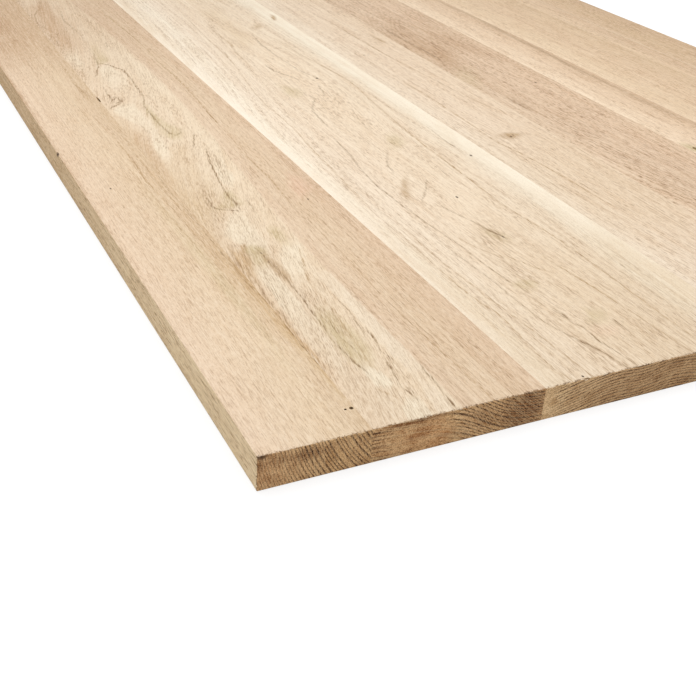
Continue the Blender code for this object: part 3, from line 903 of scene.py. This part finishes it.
def plane_faces(wood):
    """The show face, the plain underside and the long edges, on which the grain shows more."""
    tree, board, finish = wood.tree, wood.board, wood.finish
    shown = add(tree, "MapRange", {"Value": wood.facing.outputs["Z"], "From Min": -0.8, "From Max": -0.3})
    face = add(tree, "Mix", {"Factor": shown, "A": wood.tone, "B": draw_figure(wood)}, data_type="RGBA")
    is_edge = turned_to(wood, "X")
    boost = add(tree, "Math", {0: is_edge, 1: EDGE_BOOST, 2: 1.0}, operation="MULTIPLY_ADD")

    face = lay(tree, face, finish.ring_tint, wood.own_line, board.lines, wood.dashes, *wood.kept)
    single = add(tree, "MapRange", {
        "Value": wood.fibres, "From Min": 0.4, "From Max": 0.68, "To Max": finish.fibre_strength,
    })
    face = lay(tree, face, finish.fibre_tint, single)
    face = lay(tree, face, finish.hair_tint, wood.hairs, wood.dashes, board.flecks, *wood.kept, boost)
    porous = add(tree, "Math", {
        0: wood.ring_line, 1: PORES_IN_LINES, 2: PORES_BETWEEN,
    }, operation="MULTIPLY_ADD")
    crowded = add(tree, "MapRange", {
        "Value": wood.clouds, "From Min": 0.38, "From Max": 0.58, "To Min": 0.35, "To Max": 1.0,
    })
    face = lay(
        tree, face, finish.pore_tint, porous, wood.open_pores, crowded, board.flecks, *wood.kept, boost,
    )
    grit = wood_noise(tree, wood.fibre, board, "grit")
    grit = add(tree, "MapRange", {"Value": grit, "From Min": 0.5, "From Max": 0.66})
    face = lay(tree, face, finish.grit_tint, grit, finish.grit_strength)
    # Painted highlight: near-white glints beside the pores are mixed into the colour of the faces
    painted_glint = add(tree, "MapRange", {"Value": wood.pores, "From Min": 0.45, "From Max": 0.36})
    face = lay(tree, face, finish.painted_glint_colour, painted_glint, finish.painted_glint_strength, blend="MIX")
    face = lay(tree, face, finish.edge_tint, is_edge)

    # Saw tear-out: the last millimetres before the sawn ends are flecked dark
    from_middle = add(tree, "Math", {0: wood.level.outputs["Y"], 1: LENGTH / 2}, operation="SUBTRACT")
    from_middle = add(tree, "Math", {0: from_middle}, operation="ABSOLUTE")
    near_end = add(tree, "MapRange", {
        "Value": from_middle, "From Min": LENGTH / 2 - TORN_ZONE, "From Max": LENGTH / 2,
    })
    torn = wood_noise(tree, wood.place, board, "torn arrises")
    torn = add(tree, "MapRange", {"Value": torn, "From Min": 0.54, "From Max": 0.6})
    return lay(tree, face, finish.torn_tint, near_end, torn)


def saw_ends(wood):
    """The sawn ends: dark pore rings, broken by pale rays that run straight out from the pith."""
    tree, board, finish = wood.tree, wood.board, wood.finish
    blotches = wood_noise(tree, wood.place, board, "blotches")
    darker = add(tree, "MapRange", {"Value": blotches, "From Min": 0.45, "From Max": 0.7, "To Max": 0.8})
    end = lay(tree, wood.tone, finish.end_tint, 1.0)
    end = lay(tree, end, finish.end_blotch_tint, darker)

    # Reddish smears hide the rings, and dark stains don't
    section = add(tree, "CombineXYZ", {"X": wood.level.outputs["X"], "Y": wood.level.outputs["Z"]})
    ring_shares = list(wood.kept)
    smear = spots_total(tree, section, board.smears)
    if smear:
        ring_shares.append(add(tree, "Math", {0: 1.0, 1: smear}, operation="SUBTRACT", use_clamp=True))
        redder = add(tree, "MapRange", {
            "Value": blotches, "From Min": 0.35, "From Max": 0.65, "To Min": 0.4,
        })
        end = lay(tree, end, finish.smear_tint, smear, redder)
    stain = spots_total(tree, section, board.stains)
    if stain:
        end = lay(tree, end, finish.stain_tint, stain)
    weave = wood_noise(tree, wood.place, board, "weave")
    weave = add(tree, "MapRange", {"Value": weave, "From Min": 0.48, "From Max": 0.62, "To Max": 0.5})
    end = lay(tree, end, finish.end_pore_tint, weave)

    round_pith = add(tree, "Math", {0: wood.angle, 1: wood.radius}, operation="MULTIPLY")
    ray_place = add(tree, "CombineXYZ", {"X": round_pith, "Y": wood.level.outputs["Y"], "Z": wood.radius})
    rays = wood_noise(tree, ray_place, board, "rays")
    broken = add(tree, "MapRange", {
        "Value": rays, "From Min": 0.4, "From Max": 0.56, "To Min": 1.0, "To Max": 0.5,
    })
    end_line = add(tree, "Math", {
        0: wood.own_line, 1: RING_WEIGHT, 2: wood.ring_line,
    }, operation="MULTIPLY_ADD")
    end = lay(tree, end, finish.end_ring_tint, end_line, broken, *ring_shares)
    speckle = wood_noise(tree, wood.place, board, "speckle")
    cut_pores = add(tree, "MapRange", {"Value": speckle, "From Min": 0.5, "From Max": 0.6, "To Max": 0.5})
    end = lay(tree, end, finish.end_pore_tint, cut_pores)
    cut_fibres = add(tree, "MapRange", {"Value": speckle, "From Min": 0.46, "From Max": 0.36, "To Max": 0.25})
    end = lay(tree, end, finish.ray_colour, cut_fibres, blend="MIX")
    bright = add(tree, "MapRange", {"Value": rays, "From Min": 0.5, "From Max": 0.6})
    return lay(tree, end, finish.ray_colour, bright, finish.ray_strength, blend="MIX")


def sawn_oak(node, board, finish):
    """European oak, planed and sanded on its faces and sawn across its ends, with no oil or lacquer.

    The faces give a pale, dry, matt tan with fine brown pore lines; the ends drink the light and show the
    rings dark brown, with pale rays across them.
    """
    material = bpy.data.materials.new("sanded_oak_" + node)
    material.use_nodes = True
    tree = material.node_tree
    shader = tree.nodes["Principled BSDF"]

    # All the nodes that more than one layer of the wood reads are kept in here
    wood = SimpleNamespace(tree=tree, board=board, finish=finish)
    find_grain(wood)
    run_fibres(wood)
    grow_rings(wood)
    tone_board(wood)
    colour = add(tree, "Mix", {
        "Factor": turned_to(wood, "Y"), "A": plane_faces(wood), "B": saw_ends(wood),
    }, data_type="RGBA")
    knot = spots_total(tree, wood.place, board.knots, KNOT_DEPTH)
    if knot:
        core = add(tree, "MapRange", {"Value": knot, "From Min": 0.05, "From Max": 0.5})
        colour = lay(tree, colour, finish.knot_colour, core, blend="MIX")
    tree.links.new(colour.outputs[2], shader.inputs["Base Color"])

    # Relief: open pores and soft earlywood lie lower than the hard latewood
    height = add(tree, "Math", {0: wood.ring_line, 1: -RING_DROP}, operation="MULTIPLY")
    height = add(tree, "Math", {0: wood.open_pores, 1: -PORE_DROP, 2: height}, operation="MULTIPLY_ADD")
    height = add(tree, "Math", {0: wood.fibres, 1: -FIBRE_DROP, 2: height}, operation="MULTIPLY_ADD")
    relief = add(tree, "Bump", {
        "Height": height, "Strength": RELIEF_STRENGTH, "Distance": finish.pore_depth,
    })
    tree.links.new(relief.outputs["Normal"], shader.inputs["Normal"])
    dryness = add(tree, "MapRange", {
        "Value": wood.fibres, "From Min": 0.3, "From Max": 0.7, "To Min": 0.55, "To Max": 0.72,
    })
    tree.links.new(dryness.outputs["Result"], shader.inputs["Roughness"])
    shader.inputs["IOR"].default_value = OAK_IOR
    shader.inputs["Specular IOR Level"].default_value = OAK_GLOSS
    return material


def tint(name, description, tone):
    return bpy.props.FloatVectorProperty(
        name=name, description=description, subtype="COLOR", size=3, min=0.0, max=1.0,
        default=linear(tone)[:3],
    )


def strength(name, description, default):
    return bpy.props.FloatProperty(name=name, description=description, default=default, min=0.0, max=1.0)


def length(name, description, default, least):
    return bpy.props.FloatProperty(
        name=name, description=description, default=default, min=least, unit="LENGTH",
    )


def turn(name, description, degrees):
    return bpy.props.FloatProperty(
        name=name, description=description, default=math.radians(degrees), subtype="ANGLE",
    )


class TabletopFinish(bpy.types.PropertyGroup):
    """Colours and relief shared by all the boards."""

    streak_tint: tint("Streak tint", "Multiplies the wood's tone in its long darker streaks", "#ebdfd3")
    ring_tint: tint("Ring tint", "Multiplies the tone in the growth ring lines of the faces", "#d3c2ae")
    mottle_tint: tint("Mottle tint", "Multiplies the tone in its soft darker clouds", "#ecdfd0")
    fibre_tint: tint("Fibre tint", "Multiplies the tone in single fibres", "#ddcfbe")
    fibre_strength: strength("Fibre strength", "How strongly single fibres show", 0.12)
    hair_tint: tint("Hair tint", "Multiplies the tone in long hair-thin lines of the grain", "#b0977a")
    pore_tint: tint("Pore tint", "Multiplies the tone in open pores on the faces", "#8a6b49")
    grit_tint: tint("Grit tint", "Multiplies the tone in the fine scratches that sanding leaves", "#a2896b")
    grit_strength: strength("Grit strength", "How strongly sanding grit darkens the faces", 0.16)
    # Painted highlight: colour and strength of the near-white glints beside the pores, mixed into the colour
    # of the faces
    painted_glint_colour: tint("Glint colour", "Pale fibres between the pores", "#fff6e6")
    painted_glint_strength: strength("Glint strength", "How strongly pale fibres show", 0.12)
    edge_tint: tint("Edge tint", "Multiplies the tone on the long edges, which are sawn", "#ffffee")
    torn_tint: tint("Torn tint", "Multiplies the tone where the saw tore the arrises of the ends", "#85684a")
    end_tint: tint("End tint", "Multiplies the tone on the sawn ends", "#ffe9c7")
    end_blotch_tint: tint(
        "End blotch tint", "Multiplies the tone in darker patches of the sawn ends", "#c9b498",
    )
    smear_tint: tint("Smear tint", "Multiplies the tone in the reddish stains of the sawn ends", "#e2cdbd")
    stain_tint: tint("Stain tint", "Multiplies the tone in the dark stains of the sawn ends", "#a88a66")
    end_ring_tint: tint("End ring tint", "Multiplies the tone in the rings of the sawn ends", "#5a4128")
    end_pore_tint: tint("End pore tint", "Multiplies the tone in the pores of the sawn ends", "#957958")
    ray_colour: tint("Ray colour", "Pale rays across the sawn ends", "#d4b68c")
    ray_strength: strength("Ray strength", "How strongly rays show on the ends", 0.35)
    knot_colour: tint("Knot colour", "Bark-dark core of a knot", "#3c2816")
    pore_depth: length("Pore depth", "Depth of the open pores", 0.11 * MM, 0.0)


class TabletopStudio(bpy.types.PropertyGroup):
    """Camera, lamps and floor."""

    focal_length: bpy.props.FloatProperty(
        name="Focal length", description="Of a lens on a 36 mm wide sensor, in millimetres",
        default=56.41, min=1.0,
    )
    camera_place: bpy.props.FloatVectorProperty(
        name="Camera place", description="From the near left corner of the show face",
        default=(-0.19369, -0.48494, 0.38949), subtype="TRANSLATION", unit="LENGTH",
    )
    camera_heading: turn("Camera heading", "Turn to the right of straight along the grain", 27.269)
    camera_dip: turn("Camera dip", "Tilt below level", 30.861)
    camera_roll: turn(
        "Camera roll", "Turn about the line of sight, anticlockwise as the camera sees it", 3.348,
    )
    sky_strength: bpy.props.FloatProperty(
        name="Sky strength", description="Even light from all round", default=0.73, min=0.0,
    )
    key_power: bpy.props.FloatProperty(
        name="Key power", description="Soft box over the tabletop", default=9.6, min=0.0, subtype="POWER",
    )
    key_size: length("Key size", "Side of the soft box", 1.0, 0.01)
    key_height: length("Key height", "Of the soft box above the floor", 1.4, 0.1)
    floor_size: length("Floor size", "Side of the floor", 60.0, 1.0)


def mesh_object(context, name, bm, material):
    """Make an object at the origin out of a bmesh, in one material."""
    mesh = bpy.data.meshes.new(name)
    bm.to_mesh(mesh)
    bm.free()
    mesh.materials.append(material)
    made = bpy.data.objects.new(name, mesh)
    context.scene.collection.objects.link(made)
    return made


def spread_glue_sides(bm, node):
    """Bring the glued sides of a board out to the middle of the glue line, so that boards meet."""
    low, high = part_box(node)
    ordered = sorted(BOARDS, key=lambda name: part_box(name)[0].x)
    index = ordered.index(node)
    joints = {}
    if index > 0:
        joints[low.x] = (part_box(ordered[index - 1])[1].x + low.x) / 2
    if index < len(ordered) - 1:
        joints[high.x] = (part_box(ordered[index + 1])[0].x + high.x) / 2
    for side, joint in joints.items():
        for vert in bm.verts:
            if abs(vert.co.x - side) < CLOSE:
                vert.co.x = joint


def nick_end_arrises(bm, low, high, draw):
    """Split the upper arrises of both ends into short lengths and tear small nicks into some of them."""
    columns = int((high.x - low.x) / NICK_SPACING)
    cuts = [low.x + (column + draw.uniform(*NICK_SHIFT)) * NICK_SPACING for column in range(columns)]
    for end_y, inward in ((low.y, 1), (high.y, -1)):
        zone_y = end_y + inward * NICK_ZONE
        everything = list(bm.verts) + list(bm.edges) + list(bm.faces)
        bmesh.ops.bisect_plane(bm, geom=everything, dist=WELD, plane_co=(0, zone_y, 0), plane_no=(0, 1, 0))
        for x in cuts:
            near = [f for f in bm.faces if all(abs(v.co.y - end_y) < NICK_ZONE + CLOSE for v in f.verts)]
            parts = set(near)
            for face in near:
                parts.update(face.edges)
                parts.update(face.verts)
            bmesh.ops.bisect_plane(bm, geom=list(parts), dist=WELD, plane_co=(x, 0, 0), plane_no=(1, 0, 0))
        for x in cuts:
            back = abs(draw.gauss(0.0, NICK_SIZE))
            down = abs(draw.gauss(0.0, NICK_SIZE))
            for vert in bm.verts:
                from_end = abs(vert.co.y - end_y)
                from_top = high.z - vert.co.z
                if abs(vert.co.x - x) > ON_CUT or max(from_end, from_top) > ARRIS + CLOSE:
                    continue
                # The vertices in the faces of the end and the top stay in them
                vert.co.y += inward * back * min(from_end / (ARRIS / 2), 1.0)
                vert.co.z -= down * min(from_top / (ARRIS / 2), 1.0)


class TABLETOP_OT_stave(bpy.types.Operator):
    """Finish one stave of the panel"""

    bl_idname = "tabletop.stave"
    bl_label = "Finish stave"

    node: bpy.props.StringProperty(name="Node", description="Which stave to finish", default="stave_1")

    def execute(self, context):
        board = BOARDS[self.node]
        bm = bmesh.new()
        bm.from_mesh(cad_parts[self.node].data)
        bmesh.ops.remove_doubles(bm, verts=bm.verts, dist=WELD)
        bmesh.ops.dissolve_limit(bm, angle_limit=FLAT, verts=bm.verts, edges=bm.edges)
        spread_glue_sides(bm, self.node)
        low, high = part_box(self.node)
        nick_end_arrises(bm, low, high, random.Random(board.seed))
        oak = sawn_oak(self.node, board, context.scene.tabletop_finish)
        stave = mesh_object(context, "oak_" + self.node, bm, oak)
        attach(stave, "root")
        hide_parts(self.node)
        return {"FINISHED"}


class TABLETOP_OT_studio(bpy.types.Operator):
    """Set up the floor, the lamps and the camera"""

    bl_idname = "tabletop.studio"
    bl_label = "Set up studio"

    def execute(self, context):
        studio = context.scene.tabletop_studio
        self.lay_floor(context, studio)
        self.light(context, studio)
        self.place_camera(context, studio)
        context.scene.view_settings.view_transform = "Standard"
        return {"FINISHED"}

    def lay_floor(self, context, studio):
        bm = bmesh.new()
        bmesh.ops.create_grid(bm, x_segments=1, y_segments=1, size=studio.floor_size / 2)
        bmesh.ops.translate(bm, verts=bm.verts, vec=(0, 0, -FLOOR_GAP))
        floor = mesh_object(context, "studio_floor", bm, self.white_paper())

    def white_paper(self):
        """Matt white background paper, which shows as white and still takes a faint shadow."""
        material = bpy.data.materials.new("white_paper")
        material.use_nodes = True
        tree = material.node_tree
        tree.nodes.remove(tree.nodes["Principled BSDF"])
        seen = self.seen_directly(tree)
        room = add(tree, "BsdfDiffuse", {"Color": grey(PAPER_GREY)})
        shaded = add(tree, "BsdfDiffuse", {"Color": grey(SEEN_GREY)})
        glow = add(tree, "Emission", {"Color": grey(1.0), "Strength": PAPER_GLOW})
        shown = add(tree, "AddShader", {0: shaded, 1: glow})
        mixed = add(tree, "MixShader", {"Fac": seen, 1: room, 2: shown})
        tree.links.new(mixed.outputs[0], tree.nodes["Material Output"].inputs["Surface"])
        return material

    def seen_directly(self, tree):
        """1 for rays from the camera, reflections and clear glass, 0 for rays that only light the scene."""
        path = add(tree, "LightPath")
        camera_or_glossy = add(tree, "Math", {
            0: path.outputs["Is Camera Ray"], 1: path.outputs["Is Glossy Ray"],
        }, operation="ADD")
        return add(tree, "Math", {
            0: camera_or_glossy, 1: path.outputs["Is Transmission Ray"],
        }, operation="ADD", use_clamp=True)

    def light(self, context, studio):
        world = bpy.data.worlds.new("studio_sky")
        world.use_nodes = True
        tree = world.node_tree
        seen = self.seen_directly(tree)
        brightness = add(tree, "MapRange", {"Value": seen, "To Min": studio.sky_strength, "To Max": 1.0})
        sky = tree.nodes["Background"]
        sky.inputs["Color"].default_value = grey(1.0)
        tree.links.new(brightness.outputs["Result"], sky.inputs["Strength"])
        context.scene.world = world

        lamp = bpy.data.lights.new("soft_box", "AREA")
        lamp.shape = "SQUARE"
        lamp.size = studio.key_size
        lamp.energy = studio.key_power
        key = bpy.data.objects.new("soft_box", lamp)
        key.location = (*SOFT_BOX_PLACE, studio.key_height)
        context.scene.collection.objects.link(key)

    def place_camera(self, context, studio):
        lens = bpy.data.cameras.new("camera")
        lens.sensor_width = SENSOR_WIDTH
        lens.lens = studio.focal_length
        lens.clip_start = CLIP_START
        lens.clip_end = CLIP_END
        camera = bpy.data.objects.new("camera", lens)
        camera.matrix_world = (
            Matrix.Translation(NEAR_LEFT_TOP + Vector(studio.camera_place))
            @ Matrix.Rotation(-studio.camera_heading, 4, "Z")
            @ Matrix.Rotation(math.pi / 2 - studio.camera_dip, 4, "X")
            @ Matrix.Rotation(studio.camera_roll, 4, "Z")
        )
        context.scene.collection.objects.link(camera)
        context.scene.camera = camera


class TABLETOP_PT_panel(bpy.types.Panel):
    """Steps and settings of the tabletop"""

    bl_idname = "TABLETOP_PT_panel"
    bl_label = "Oak tabletop"
    bl_space_type = "VIEW_3D"
    bl_region_type = "UI"
    bl_category = "Tabletop"

    def draw(self, context):
        layout = self.layout
        for node in BOARDS:
            step = layout.operator(TABLETOP_OT_stave.bl_idname, text="Finish " + node)
            step.node = node
        layout.operator(TABLETOP_OT_studio.bl_idname)
        for group in (context.scene.tabletop_finish, context.scene.tabletop_studio):
            for name in group.__annotations__:
                layout.prop(group, name)


CLASSES = (TabletopFinish, TabletopStudio, TABLETOP_OT_stave, TABLETOP_OT_studio, TABLETOP_PT_panel)


def register():
    for cls in CLASSES:
        bpy.utils.register_class(cls)
    bpy.types.Scene.tabletop_finish = bpy.props.PointerProperty(type=TabletopFinish)
    bpy.types.Scene.tabletop_studio = bpy.props.PointerProperty(type=TabletopStudio)


def unregister():
    del bpy.types.Scene.tabletop_studio
    del bpy.types.Scene.tabletop_finish
    for cls in reversed(CLASSES):
        bpy.utils.unregister_class(cls)


def main():
    register()
    for node in BOARDS:
        bpy.ops.tabletop.stave(node=node)
    bpy.ops.tabletop.studio()


if __name__ == "__main__":
    main()
